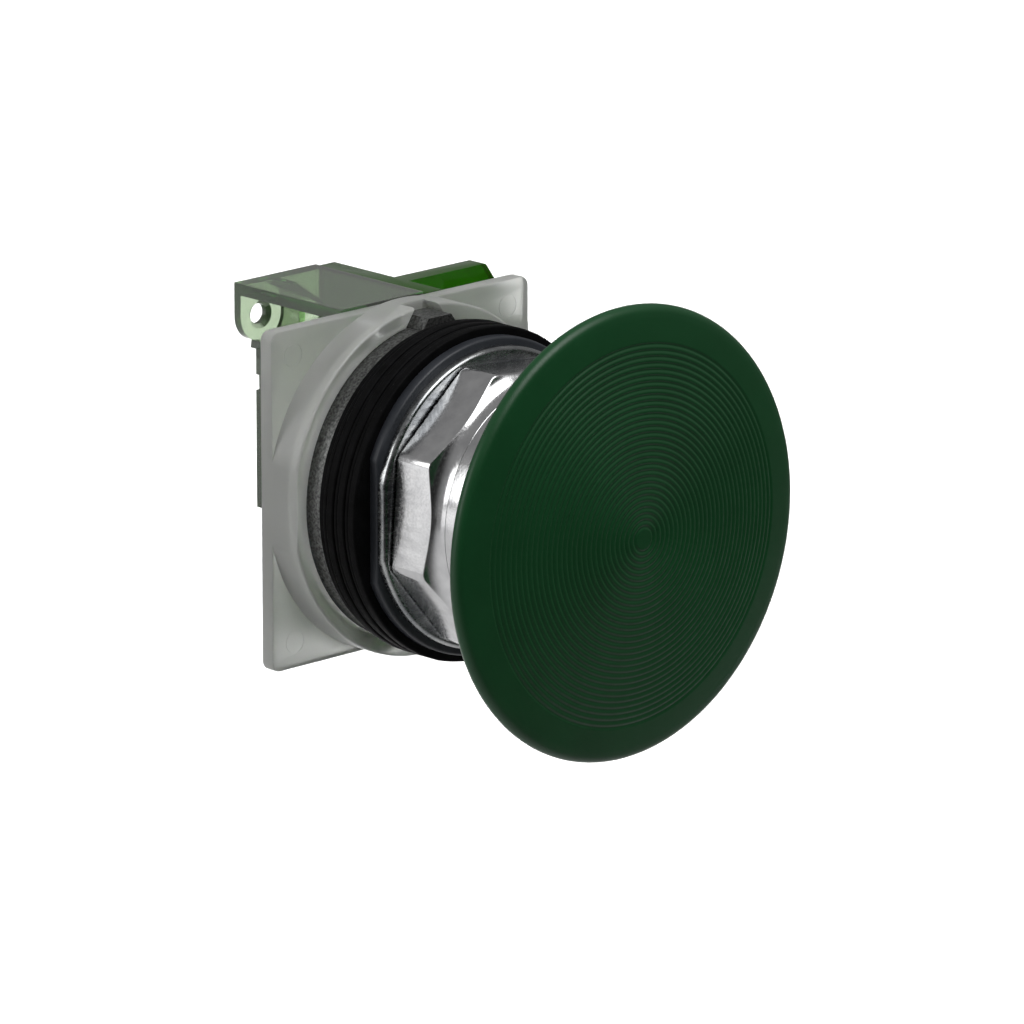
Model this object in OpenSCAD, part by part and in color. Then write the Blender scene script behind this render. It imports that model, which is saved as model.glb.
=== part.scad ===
// Panel push button, 30 mm class, with a mushroom head and one normally open contact block.
// Every piece is drawn along the push axis with +Z towards the hand. facing_front() then turns
// it, so the button faces -Y and +Z is up. Lengths are in millimetres.
// The origin is on the push axis, on the flange face that seats behind the panel.

/* [Mushroom head] */
// Diameter of the head
head_d = 56.7; // [54:0.1:57]
// Radius of the domed front
dome_r = 149; // [149:1:180]
// Radius of the rounded rim
rim_r = 1.15; // [0.9:0.05:1.2]
// From the panel seat to the middle of the dome
head_front = 35.95; // [35.5:0.05:37]
// How far the head can be pushed
travel = 5; // [3:0.5:5]

/* [Operator] */
// Diameter of the threaded barrel
barrel_d = 30; // [29.6:0.1:30.1]
// Length of the barrel in front of the flange
barrel_h = 15.8; // [15:0.1:16]
// Diameter of the flange behind the panel
flange_d = 40.1; // [38:0.1:40.1]
// Thickness of the flange
flange_t = 5; // [4:0.1:5]
// Diameter of the push stem
stem_d = 8; // [6:0.1:8.5]

/* [Ring nut] */
// Width across the flats of the eight-sided nut
nut_af = 34.3; // [33.6:0.1:36]
// How far the nut has turned when it is tight, in degrees
nut_turn = -4.6; // [-22:0.1:22]
// Diameter of the round neck
neck_d = 33; // [31.6:0.1:33.2]

/* [Gaskets and washers] */
// Diameter of the rubber gaskets
gasket_d = 42.3; // [40:0.1:44]
// Thickness of each thick gasket
gasket_t = 1.225; // [1:0.025:1.225]
// Thickness of each thin gasket
shim_t = 0.7; // [0.5:0.05:0.7]
// Diameter of the trim washer
trim_d = 40; // [38:0.1:42]
// Thickness of the trim washer
trim_t = 1.45; // [1:0.05:1.5]
// Diameter of the clamp washer
washer_d = 38; // [36:0.1:39]
// Thickness of the clamp washer
washer_t = 1.25; // [0.8:0.05:1.3]
// Width of both washers across their flats
washer_flats = 36.8; // [35:0.1:37.5]

/* [Adapter plate] */
// Width of the plate
plate_w = 43.4; // [43:0.1:46]
// Height of the plate
plate_h = 43.1; // [42.6:0.1:46]
// Thickness of the plate
plate_t = 2; // [1.5:0.1:2]
// Diameter of the collar
collar_d = 44.6; // [43.5:0.1:46]
// How far the collar stands in front of the plate
collar_h = 4.6; // [4:0.1:5]

/* [Contact block] */
// Depth of the block behind the adapter plate
block_depth = 19.7; // [19.7:0.1:22]
// Wall of the clear cover
cover_wall = 1.2; // [1:0.1:1.3]
// Depth of the terminal wing behind the adapter plate
wing_depth = 8.7; // [8.5:0.1:9]
// Diameter of the stacking holes
stack_hole_d = 2.6; // [2:0.1:2.8]

/* [Hidden] */
$fn = 96;
eps = 0.01;
fit = 0.02;
run = 0.05;

// Operator body and what it holds
barrel_r = barrel_d / 2;
flange_r = flange_d / 2;
bush_r = 12;
bush_z = 9;
rear_bore_r = 9.5;
skirt_z = -8.8;
stem_r = stem_d / 2;
seal_r = 6.2;
seal_h = 2.2;
lug = [[-2.9, 19], [2.9, 19], [2.9, 19.9], [1.9, 21.3], [-1.9, 21.3], [-2.9, 19.9]];

// Gaskets, washers and nut, in the order they go on the barrel
bore_r = barrel_r + 0.1;
gasket_pitch = gasket_t + shim_t;
thick_z = [for (i = [0:3]) i * gasket_pitch];
thin_z = [for (i = [0:2]) i * gasket_pitch + gasket_t];
trim_z = 7;
washer_z = trim_z + trim_t;
nut_z = washer_z + washer_t + 0.2;
nut_corner_r = nut_af / 2 / cos(22.5);
neck_r = neck_d / 2;
neck_foot_z = 18.3;
cove_r = 2.8;
neck_top_z = 24;
neck_bore_r = 12.6;
wiper_z = 21;
wiper_h = 1.6;
wiper_r = 13.8;

// Head, stem and what rides on them
head_r = head_d / 2;
rim_centre = [head_r - rim_r, head_front - 3.7];
head_back_z = rim_centre[1] - rim_r;
web_z = head_back_z + 0.7;
hub_r = 11.9;
hub_z = 21.3;
hub_bore_r = 8.5;
spring_seat_z = 26;
insert_r = 5.4;
insert_z = [24, 33];
stem_z = [-2.6, 32.5];
clip_z = bush_z - 1.1;
clip_t = 1;
groove_r = 3.3;
foot_back_z = -3.6;
foot_r = 8;

// Adapter plate
plate_front_z = -7;
plate_back_z = plate_front_z - plate_t;
collar_r = collar_d / 2;
collar_front_z = plate_front_z + collar_h;
plate_bore_r = 12.2;
notch = [[-3.4, 19.5], [3.4, 19.5], [3.4, 20.1], [1.5, 22.6], [-1.5, 22.6], [-3.4, 20.1]];

// Contact block, behind the plate
block_back_z = plate_back_z - block_depth;
body_back_z = block_back_z + 3.4;
block_top = 21.85;
inner_top = block_top - 1.7;
side_top = 21.6;
cover_x = [-8.15, 5.6];
body_x = -7.65;
inset_x = -5.9;
inset_top = -6.5;
ear_bottom = 14;
side_x = [cover_x[1], 8.8];
wing_back_z = plate_back_z - wing_depth;
wing_inner_z = wing_back_z + 2.7;
wing_side_x = [21.6, 23.6];
front_wall_z = plate_back_z - 1.2;
stack_hole = [-4.8, 17.4];
ear_r = 3.3;
screw_r = 1.5;
screw_head_r = 2.4;
boss_r = 3.5;
rib_r = [3.4, 4.4];
plunger_r = 4.2;

// Contacts
strip_t = 0.8;
strip_y = [7.6, 13.4];
strip_mid_y = (strip_y[0] + strip_y[1]) / 2;
strip_tip_x = -2.4;
strip_end_x = 19;
terminal_x = 15;
strip_back_z = -21.1;
tip_r = 1.7;
tip_t = 0.7;
bridge_z = [-14, -13];
bridge_half = 12;
carrier_back_z = -15.6;
carrier_front_z = foot_back_z - 0.2;
fixed_tip_y = 10.5;

// ---- shared shapes ----

// Turns a piece drawn along +Z so that its front faces -Y.
module facing_front() rotate([90, 0, 0]) children();

// A disc with a round bore, from z0 to z1.
module ring(r_out, r_in, z0, z1)
    difference() {
        translate([0, 0, z0]) cylinder(r = r_out, h = z1 - z0);
        translate([0, 0, z0 - 1]) cylinder(r = r_in, h = z1 - z0 + 2);
    }

// A rod on the axis or at a place in the plane, from z0 to z1.
module rod(r, z0, z1, at = [0, 0])
    translate([at[0], at[1], z0]) cylinder(r = r, h = z1 - z0);

// A box given by its limits in x, y and z.
module slab(x, y, z)
    translate([x[0], y[0], z[0]]) cube([x[1] - x[0], y[1] - y[0], z[1] - z[0]]);

// A flat plate with rounded corners, centred on the axis.
module round_cornered(w, h, r, z0, z1) {
    slab([-w / 2 + r, w / 2 - r], [-h / 2, h / 2], [z0, z1]);
    slab([-w / 2, w / 2], [-h / 2 + r, h / 2 - r], [z0, z1]);
    for (sx = [-1, 1], sy = [-1, 1])
        rod(r, z0, z1, [sx * (w / 2 - r), sy * (h / 2 - r)]);
}

// Points along an arc, from angle a0 to angle a1 in n steps.
function arc(centre, r, a0, a1, n) =
    [for (i = [0:n]) let (a = a0 + (a1 - a0) * i / n) centre + r * [cos(a), sin(a)]];

// A round-wire coil spring: rings of points along a helix, joined into one closed tube.
module coil(mean_r, wire_r, z0, z1, turns, per_turn = 20, sides = 8) {
    steps = turns * per_turn;
    rise = z1 - z0 - 2 * wire_r;
    points = [for (i = [0:steps], j = [0:sides - 1])
        let (a = 360 * i / per_turn, b = 360 * j / sides, r = mean_r + wire_r * cos(b))
        [r * cos(a), r * sin(a), z0 + wire_r + rise * i / steps + wire_r * sin(b)]];
    walls = [for (i = [0:steps - 1], j = [0:sides - 1])
        let (k = (j + 1) % sides, n = i * sides)
        [n + j, n + sides + j, n + sides + k, n + k]];
    first = [for (j = [0:sides - 1]) j];
    last = [for (j = [sides - 1:-1:0]) steps * sides + j];
    polyhedron(points, concat(walls, [first, last]));
}

// ---- operator ----

// Die-cast body: flange with a locating lug, threaded barrel, and a skirt behind.
module operator_body() color("silver") facing_front() difference() {
    union() {
        rod(flange_r, -flange_t, 0);
        rod(barrel_r, 0, barrel_h);
        rod(bush_r, skirt_z, -flange_t);
        translate([0, 0, collar_front_z - 2]) linear_extrude(-collar_front_z + 2) polygon(lug);
    }
    rod(bush_r, bush_z, barrel_h + 1);
    rod(rear_bore_r, skirt_z - 1, bush_z + 1);
    for (s = [1, -1]) rod(screw_r + fit, -flange_t - 1, -1, s * stack_hole);
}

// Frosted plate with the collar that takes the flange.
module adapter_plate() color([0.62, 0.64, 0.61, 0.7]) facing_front() difference() {
    union() {
        round_cornered(plate_w, plate_h, 1.2, plate_back_z, plate_front_z);
        intersection() {
            rotate_extrude() polygon(concat([[0, plate_front_z - eps], [collar_r, plate_front_z - eps]],
                arc([collar_r - 0.4, collar_front_z - 0.4], 0.4, 0, 90, 3), [[0, collar_front_z]]));
            slab([-plate_w / 2, plate_w / 2], [-30, 30], [plate_back_z, 0]);
        }
    }
    rod(flange_r + run, -flange_t, 0);
    rod(plate_bore_r, plate_back_z - 1, 0);
    translate([0, 0, -flange_t]) linear_extrude(flange_t) polygon(notch);
    for (s = [1, -1]) rod(screw_r + 0.2, plate_back_z - 1, 0, s * stack_hole);
}

// The thick rubber gaskets of the stack.
module thick_gaskets() color([0.05, 0.05, 0.05]) facing_front()
    for (z = thick_z) ring(gasket_d / 2, bore_r, z, z + gasket_t);

// The thin rubber gaskets between them.
module thin_gaskets() color([0.09, 0.09, 0.09]) facing_front()
    for (z = thin_z) ring(gasket_d / 2 - 0.15, bore_r, z, z + shim_t);

// A washer with two flats, left and right.
module flatted_washer(d, z0, t) facing_front() intersection() {
    ring(d / 2, bore_r, z0, z0 + t);
    slab([-washer_flats / 2, washer_flats / 2], [-d, d], [z0, z0 + t]);
}

module trim_washer() color([0.2, 0.22, 0.25]) flatted_washer(trim_d, trim_z, trim_t);

module clamp_washer() color("gainsboro") flatted_washer(washer_d, washer_z, washer_t);

// Chromed eight-sided nut with a round neck that guides the head.
module ring_nut() color("whitesmoke") facing_front() difference() {
    union() {
        intersection() {
            rotate([0, 0, 22.5 + nut_turn]) translate([0, 0, nut_z])
                cylinder(r = nut_corner_r, h = neck_foot_z - nut_z, $fn = 8);
            rotate_extrude() polygon(concat([[0, nut_z], [neck_r + 4, nut_z]],
                [[neck_r + 4, neck_foot_z - cove_r]],
                arc([neck_r + cove_r, neck_foot_z], cove_r, 262, 180, 6), [[0, neck_foot_z]]));
        }
        rod(neck_r, nut_z, neck_top_z);
    }
    rod(barrel_r + run, nut_z - 1, barrel_h + 0.4);
    rod(neck_bore_r, nut_z, neck_top_z + 1);
    ring(wiper_r, neck_bore_r - 1, wiper_z, wiper_z + wiper_h);
}

// Rubber wiper that keeps dust out of the neck.
module neck_wiper() color("black") facing_front()
    ring(wiper_r - fit, hub_r + 0.2, wiper_z + fit, wiper_z + wiper_h - fit);

// Bearing bush pressed into the barrel.
module guide_bush() color("goldenrod") facing_front() difference() {
    rod(bush_r - fit, bush_z + fit, barrel_h);
    rod(stem_r + run, 0, barrel_h + 1);
    rod(seal_r, barrel_h - seal_h, barrel_h + 1);
}

// Lip seal round the stem.
module stem_seal() color("black") facing_front()
    ring(seal_r - fit, stem_r + 0.08, barrel_h - seal_h + fit, barrel_h - 0.1);

// ---- button ----

// Moulded head: domed front, rounded rim and a hub that runs inside the neck.
module mushroom_head() color([0.1, 0.23, 0.14]) facing_front()
    rotate_extrude() polygon(concat(
        [[0, insert_z[1]], [0, head_front]],
        arc([0, head_front - dome_r], dome_r, 89, 90 - asin(rim_centre[0] / dome_r), 9),
        arc(rim_centre, rim_r, 75, -90, 7),
        [[rim_centre[0] - 1.2, head_back_z], [rim_centre[0] - 1.8, web_z], [hub_r, web_z],
         [hub_r, hub_z], [hub_bore_r, hub_z], [hub_bore_r, spring_seat_z],
         [insert_r, spring_seat_z], [insert_r, insert_z[1]]]));

// Brass insert moulded into the head, threaded onto the stem.
module head_insert() color("gold") facing_front() difference() {
    rod(insert_r - fit, insert_z[0], insert_z[1] - fit);
    rod(stem_r + fit, insert_z[0] - 1, stem_z[1] + fit);
}

// Steel stem with a groove for its clip.
module push_stem() color("lightsteelblue") facing_front() difference() {
    rod(stem_r, stem_z[0], stem_z[1]);
    ring(stem_r + 1, groove_r, clip_z, clip_z + clip_t);
}

// Spring-steel clip that stops the stem against the bush.
module stem_clip() color("dimgray") facing_front() difference() {
    ring(seal_r, groove_r + fit, clip_z + fit, clip_z + clip_t - fit);
    slab([-1.6, 1.6], [0, 10], [clip_z - 1, clip_z + clip_t + 1]);
}

// Plastic foot on the stem that drives the contact block.
module plunger_foot() color("ivory") facing_front() difference() {
    union() {
        rod(foot_r, foot_back_z, foot_back_z + 2.2);
        rod(stem_r + 1.6, foot_back_z, 2.4);
    }
    rod(stem_r + fit, stem_z[0], 3);
}

// Spring that brings the head back.
module return_spring() color("lightgray") facing_front()
    coil(6.95, 0.55, barrel_h + 0.05, spring_seat_z - 0.05, 4);

// ---- contact block ----

// Outline of the terminal wing, seen along the push axis.
wing_outline = [[side_x[1] - eps, side_top], [22, side_top], [wing_side_x[1], 19.3],
    [wing_side_x[1], -19.3], [22, -side_top], [side_x[1] - eps, -side_top]];

// Green translucent housing: side wall, front wall, terminal wing and the lower ear.
module block_housing() color([0.14, 0.38, 0.06, 0.8]) facing_front() difference() {
    union() {
        slab(side_x, [-side_top, side_top], [block_back_z, plate_back_z]);
        slab([cover_x[0], side_x[0] + eps], [-inner_top, inner_top],
            [front_wall_z, plate_back_z]);
        for (s = [1, -1]) intersection() {
            rod(boss_r, front_wall_z - 4, front_wall_z + eps, s * stack_hole);
            slab([body_x + 1.4, side_x[1]], [-inner_top, inner_top], [block_back_z, 0]);
        }
        translate([0, 0, wing_back_z]) linear_extrude(wing_inner_z - wing_back_z)
            polygon(wing_outline);
        slab(wing_side_x, [-14.9, 14.9], [wing_inner_z - eps, plate_back_z]);
        for (s = [1, -1]) slab([side_x[1] - eps, wing_side_x[0] + eps],
            [s * 5.75 - 0.75, s * 5.75 + 0.75], [wing_inner_z - eps, plate_back_z]);
        slab([-stack_hole[0], side_x[0] + eps], [-side_top, -ear_bottom],
            [block_back_z, block_back_z + cover_wall]);
        rod(ear_r, block_back_z, block_back_z + cover_wall, -stack_hole);
    }
    rod(plunger_r + 0.2, front_wall_z - 1, plate_back_z + 1);
    for (s = [1, -1]) {
        rod(screw_r + 0.2, front_wall_z - 1, plate_back_z + 1, s * stack_hole);
        rod(screw_head_r + 0.3, block_back_z + cover_wall, front_wall_z, s * stack_hole);
        rod(3.1, wing_back_z - 1, wing_inner_z + 1, [terminal_x, s * strip_mid_y]);
        slab([side_x[0] - 1, side_x[1] + 1],
            [s * strip_mid_y - 3, s * strip_mid_y + 3],
            [wing_inner_z - 0.1, wing_inner_z + strip_t + 0.1]);
    }
    rod(stack_hole_d / 2, block_back_z - 1, block_back_z + cover_wall + 1, -stack_hole);
    rotate([90, 0, 0]) linear_extrude(60, center = true)
        polygon([[wing_side_x[1] - 4.3, wing_back_z - eps], [wing_side_x[1] + eps, wing_back_z - eps],
            [wing_side_x[1] + eps, wing_inner_z]]);
}

// Clear cover: top slab with the upper ear, left wall, rear wall and bottom slab.
module block_cover() color([0.75, 0.85, 0.7, 0.45]) facing_front() difference() {
    union() {
        slab(cover_x, [block_top - 1.5, block_top], [block_back_z, plate_back_z]);
        slab([stack_hole[0], cover_x[1]], [ear_bottom, block_top],
            [block_back_z, block_back_z + cover_wall]);
        slab([cover_x[0], cover_x[1]], [stack_hole[1], block_top],
            [block_back_z, block_back_z + cover_wall]);
        rod(stack_hole[0] - cover_x[0], block_back_z, block_back_z + cover_wall, stack_hole);
        slab([stack_hole[0], cover_x[1]], [ear_bottom - cover_wall, ear_bottom],
            [block_back_z, body_back_z + cover_wall]);
        translate([stack_hole[0], stack_hole[1], block_back_z + eps]) intersection() {
            ring(rib_r[1], rib_r[0], 0, body_back_z - block_back_z + cover_wall);
            slab([-0.8, 5], [-5, 4.4], [0, 9]);
        }
        slab([body_x, body_x + cover_wall], [inset_top, ear_bottom],
            [body_back_z, front_wall_z - eps]);
        slab([inset_x, inset_x + cover_wall], [-block_top, inset_top],
            [body_back_z, front_wall_z - eps]);
        slab([body_x, inset_x + cover_wall], [inset_top, inset_top + cover_wall],
            [body_back_z, front_wall_z - eps]);
        slab([body_x, cover_x[1]], [inset_top, ear_bottom],
            [body_back_z, body_back_z + cover_wall]);
        slab([inset_x, cover_x[1]], [-block_top, inset_top + eps],
            [body_back_z, body_back_z + cover_wall]);
        slab([inset_x, cover_x[1]], [-block_top, 1.5 - block_top],
            [body_back_z, plate_back_z]);
    }
    rod(stack_hole_d / 2, block_back_z - 1, block_back_z + cover_wall + 1, stack_hole);
    rod(screw_head_r + 0.3, body_back_z - 1, front_wall_z, -stack_hole);
    slab([body_x - 1, body_x + 0.5], [8.6, 10.6], [body_back_z - 1, body_back_z + 0.6]);
}

// Two socket-head screws that hold the block and the plate to the operator body.
module block_screws() color("gray") facing_front() for (s = [1, -1]) difference() {
    union() {
        rod(screw_head_r, front_wall_z - 2.2, front_wall_z, s * stack_hole);
        rod(screw_r, front_wall_z - eps, -1.4, s * stack_hole);
    }
    translate([s * stack_hole[0], s * stack_hole[1], front_wall_z - 3])
        cylinder(r = 1.15, h = 2, $fn = 6);
}

// A bent strip from its terminal, through the side wall, to its contact tip.
module fixed_contact(s) color("darkgoldenrod") facing_front() difference() {
    y = s > 0 ? strip_y : [-strip_y[1], -strip_y[0]];
    union() {
        slab([strip_tip_x, side_x[0]], y, [strip_back_z, strip_back_z + strip_t]);
        slab([side_x[0] - strip_t, side_x[0]], y, [strip_back_z, wing_inner_z + strip_t]);
        slab([side_x[0] - strip_t, strip_end_x], y, [wing_inner_z, wing_inner_z + strip_t]);
    }
    rod(screw_r + 0.2, wing_inner_z - 1, wing_inner_z + 2, [terminal_x, s * strip_mid_y]);
}

module upper_fixed_contact() fixed_contact(1);

module lower_fixed_contact() fixed_contact(-1);

// Silver tips riveted to the strips.
module fixed_contact_tips() color("white") facing_front() for (s = [1, -1])
    rod(tip_r, strip_back_z + strip_t, strip_back_z + strip_t + tip_t, [0, s * fixed_tip_y]);

// Terminal screws, driven from behind.
module terminal_screws() color("silver") facing_front() for (s = [1, -1]) difference() {
    union() {
        rod(2.8, wing_inner_z - 2.2, wing_inner_z, [terminal_x, s * strip_mid_y]);
        rod(screw_r, wing_inner_z - eps, plate_back_z - 1.2, [terminal_x, s * strip_mid_y]);
    }
    slab([terminal_x - 3, terminal_x + 3], [s * strip_mid_y - 0.4, s * strip_mid_y + 0.4],
        [wing_inner_z - 3, wing_inner_z - 1.2]);
}

// Square plates that the terminal screws draw onto the wire.
module clamp_plates() color("khaki") facing_front() for (s = [1, -1]) difference() {
    slab([terminal_x - 3.2, terminal_x + 3.2], [s * strip_mid_y - 3, s * strip_mid_y + 3],
        [wing_inner_z + 2.4, wing_inner_z + 3.4]);
    rod(screw_r + fit, wing_inner_z, wing_inner_z + 5, [terminal_x, s * strip_mid_y]);
}

// Sliding carrier with a window for the bridge and a bore for its spring.
module contact_carrier() color([0.85, 0.85, 0.82]) facing_front() difference() {
    union() {
        rod(plunger_r, -11 - eps, carrier_front_z);
        slab([-4, 4], [-4.5, 4.5], [carrier_back_z, -11]);
    }
    slab([-2.4, 2.4], [-6, 6], [bridge_z[0], bridge_z[1] + 0.8]);
    rod(2.3, bridge_z[0], -8);
}

// Contact bridge across the two fixed contacts.
module contact_bridge() color("peru") facing_front()
    slab([-2.2, 2.2], [-bridge_half, bridge_half], bridge_z);

// Silver tips on the bridge.
module bridge_tips() color("white") facing_front() for (s = [1, -1])
    rod(tip_r, bridge_z[0] - 0.5, bridge_z[0], [0, s * fixed_tip_y]);

// Spring that presses the bridge onto the contacts.
module bridge_spring() color("lightgray") facing_front()
    coil(1.8, 0.25, bridge_z[1] + 0.02, -8.02, 5, 16, 6);

// Spring that brings the carrier back.
module carrier_spring() color("lightgray") facing_front()
    coil(2.7, 0.3, body_back_z + cover_wall + 0.05, carrier_back_z - 0.05, 5, 16, 6);

operator_body();
adapter_plate();
thick_gaskets();
thin_gaskets();
trim_washer();
clamp_washer();
ring_nut();
neck_wiper();
guide_bush();
stem_seal();
mushroom_head();
head_insert();
push_stem();
stem_clip();
plunger_foot();
return_spring();
block_housing();
block_cover();
block_screws();
upper_fixed_contact();
lower_fixed_contact();
fixed_contact_tips();
terminal_screws();
clamp_plates();
contact_carrier();
contact_bridge();
bridge_tips();
bridge_spring();
carrier_spring();
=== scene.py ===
import math

import bmesh
import bpy
from mathutils import Matrix, Vector, noise


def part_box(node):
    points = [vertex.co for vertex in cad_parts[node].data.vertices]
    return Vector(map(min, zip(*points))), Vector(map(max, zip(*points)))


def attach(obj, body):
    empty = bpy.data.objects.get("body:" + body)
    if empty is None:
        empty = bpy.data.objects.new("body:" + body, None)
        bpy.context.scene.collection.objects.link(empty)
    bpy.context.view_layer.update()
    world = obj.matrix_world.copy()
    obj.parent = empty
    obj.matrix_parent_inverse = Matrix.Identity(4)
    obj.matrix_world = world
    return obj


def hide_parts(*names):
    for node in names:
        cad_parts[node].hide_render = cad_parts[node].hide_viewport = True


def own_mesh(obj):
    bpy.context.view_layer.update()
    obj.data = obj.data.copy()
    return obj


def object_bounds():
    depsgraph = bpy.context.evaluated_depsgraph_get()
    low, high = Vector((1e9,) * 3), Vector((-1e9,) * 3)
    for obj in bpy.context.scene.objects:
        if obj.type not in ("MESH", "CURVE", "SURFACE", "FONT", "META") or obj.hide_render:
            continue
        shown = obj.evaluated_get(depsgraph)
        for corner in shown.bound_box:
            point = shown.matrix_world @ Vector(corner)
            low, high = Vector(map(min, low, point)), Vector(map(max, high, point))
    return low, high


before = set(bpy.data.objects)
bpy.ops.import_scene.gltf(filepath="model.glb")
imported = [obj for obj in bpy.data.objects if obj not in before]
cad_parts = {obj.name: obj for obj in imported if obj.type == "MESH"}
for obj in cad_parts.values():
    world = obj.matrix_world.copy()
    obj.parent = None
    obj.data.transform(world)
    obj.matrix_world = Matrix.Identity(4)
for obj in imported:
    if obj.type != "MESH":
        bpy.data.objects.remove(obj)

# ---- Viewing position ----
# The button is looked at from the front left and a little above, the way a fitter holds it
# before it goes into the panel. A long lens keeps the plate's edges nearly parallel.
cad_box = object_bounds()
scene = bpy.context.scene
EYE_AZIMUTH = math.radians(-43.67)
EYE_ELEVATION = math.radians(15.24)
EYE_DISTANCE = 1.2
EYE_LENS = 344.24
EYE_AIM = Vector((-0.00018, -0.013, -0.00104))
towards_eye = Vector((math.sin(EYE_AZIMUTH) * math.cos(EYE_ELEVATION),
                      -math.cos(EYE_AZIMUTH) * math.cos(EYE_ELEVATION),
                      math.sin(EYE_ELEVATION)))
eye = bpy.data.objects.new("eye", bpy.data.cameras.new("eye"))
eye.data.sensor_width = 36
eye.data.lens = EYE_LENS
eye.data.clip_start = 0.1
eye.data.clip_end = 20
eye.location = EYE_AIM + towards_eye * EYE_DISTANCE
eye.rotation_euler = (-towards_eye).to_track_quat("-Z", "Y").to_euler()
scene.collection.objects.link(eye)
scene.camera = eye
scene.view_settings.view_transform = "Standard"

# ---- Operator body ----
# One zinc die-casting: the flange that seats behind the panel, the threaded barrel that goes
# through it and a short skirt behind. A lug on top keys the body into the adapter plate.
MM = 0.001


def place(across, up, depth):
    """A point in metres from mm: across to the right, up, and depth forward of the panel seat."""
    return Vector((across * MM, -depth * MM, up * MM))


def span(node):
    """Reach to the right, back and front of a CAD node, in mm."""
    low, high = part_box(node)
    return high.x / MM, -high.y / MM, -low.y / MM


def rounded(corners, steps=4):
    """A closed outline of points from corners (a, b, radius), each rounded by its radius."""
    outline = []
    for i, (a, b, radius) in enumerate(corners):
        here = Vector((a, b))
        if not radius:
            outline.append((a, b))
            continue
        before = (Vector(corners[i - 1][:2]) - here).normalized()
        after = (Vector(corners[(i + 1) % len(corners)][:2]) - here).normalized()
        half = before.angle(after) / 2
        centre = here + (before + after).normalized() * radius / math.sin(half)
        start = here + before * radius / math.tan(half) - centre
        end = here + after * radius / math.tan(half) - centre
        for k in range(steps + 1):
            spoke = start.lerp(end, k / steps).normalized() * radius
            outline.append(tuple(centre + spoke))
    return outline


def as_mesh(bm):
    """A mesh from a bmesh, with doubled and loose points gone and its faces turned outwards."""
    bmesh.ops.remove_doubles(bm, verts=bm.verts, dist=1e-7)
    bmesh.ops.delete(bm, geom=[e for e in bm.edges if not e.link_faces], context="EDGES")
    bmesh.ops.delete(bm, geom=[v for v in bm.verts if not v.link_faces], context="VERTS")
    bmesh.ops.recalc_face_normals(bm, faces=bm.faces)
    mesh = bpy.data.meshes.new("solid")
    bm.to_mesh(mesh)
    bm.free()
    return mesh


def spin(outline, steps=128):
    """Turns a closed outline of (radius, depth) round the push axis. It may vary with the angle."""
    bm = bmesh.new()
    rows = []
    for i in range(steps):
        angle = math.tau * i / steps
        points = outline(angle) if callable(outline) else outline
        rows.append([bm.verts.new(place(r * math.cos(angle), r * math.sin(angle), depth))
                     for r, depth in points])
    for row, following in zip(rows, rows[1:] + rows[:1]):
        for j in range(len(row)):
            k = (j + 1) % len(row)
            bm.faces.new((row[j], row[k], following[k], following[j]))
    return as_mesh(bm)


def prism(corners, back, front):
    """A straight-sided solid from an outline (across, up), between two depths."""
    bm = bmesh.new()
    ends = [[bm.verts.new(place(across, up, depth)) for across, up in corners]
            for depth in (back, front)]
    for j in range(len(corners)):
        k = (j + 1) % len(corners)
        bm.faces.new((ends[0][j], ends[0][k], ends[1][k], ends[1][j]))
    bm.faces.new(ends[0])
    bm.faces.new(ends[1])
    return as_mesh(bm)


def slab(across, up, depth):
    """A box between limits in mm."""
    corners = [(across[0], up[0]), (across[1], up[0]), (across[1], up[1]), (across[0], up[1])]
    return prism(corners, *depth)


def disc(radius, at=(0, 0), steps=48):
    """The outline of a circle."""
    return [(at[0] + radius * math.cos(math.tau * i / steps),
             at[1] + radius * math.sin(math.tau * i / steps)) for i in range(steps)]


def gather(*meshes):
    """Several solids in one mesh."""
    bm = bmesh.new()
    for mesh in meshes:
        bm.from_mesh(mesh)
    joined = bpy.data.meshes.new("solids")
    bm.to_mesh(joined)
    bm.free()
    return joined


def moved(mesh, at):
    """The mesh carried across and up by at, in mm."""
    mesh.transform(Matrix.Translation(place(at[0], at[1], 0)))
    return mesh


def carve(parts, cuts=(), edge=0.0):
    """Joins solids into one, cuts others out of it and rounds its edges, all in mm."""
    blanks = [bpy.data.objects.new("blank", mesh) for mesh in (*parts, *cuts)]
    for blank in blanks:
        scene.collection.objects.link(blank)
    for i, tool in enumerate(blanks[1:], 1):
        cut = blanks[0].modifiers.new("cut", "BOOLEAN")
        cut.solver = "EXACT"
        cut.operation = "UNION" if i < len(parts) else "DIFFERENCE"
        cut.object = tool
    if edge:
        soften = blanks[0].modifiers.new("edge", "BEVEL")
        soften.width = edge * MM
        soften.segments = 2
        soften.limit_method = "ANGLE"
        soften.angle_limit = math.radians(35)
    evaluated = blanks[0].evaluated_get(bpy.context.evaluated_depsgraph_get())
    mesh = bpy.data.meshes.new_from_object(evaluated)
    for blank in blanks:
        bpy.data.objects.remove(blank)
    return mesh


def fit(name, mesh, finish, body, nodes, crease=32):
    """Puts a finished mesh on its body, in place of its CAD nodes."""
    made = bpy.data.objects.new(name, mesh)
    scene.collection.objects.link(made)
    mesh.materials.clear()
    mesh.materials.append(finish)
    mesh.shade_smooth()
    mesh.set_sharp_from_angle(angle=math.radians(crease))
    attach(made, body)
    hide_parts(*nodes)
    return made


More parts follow.
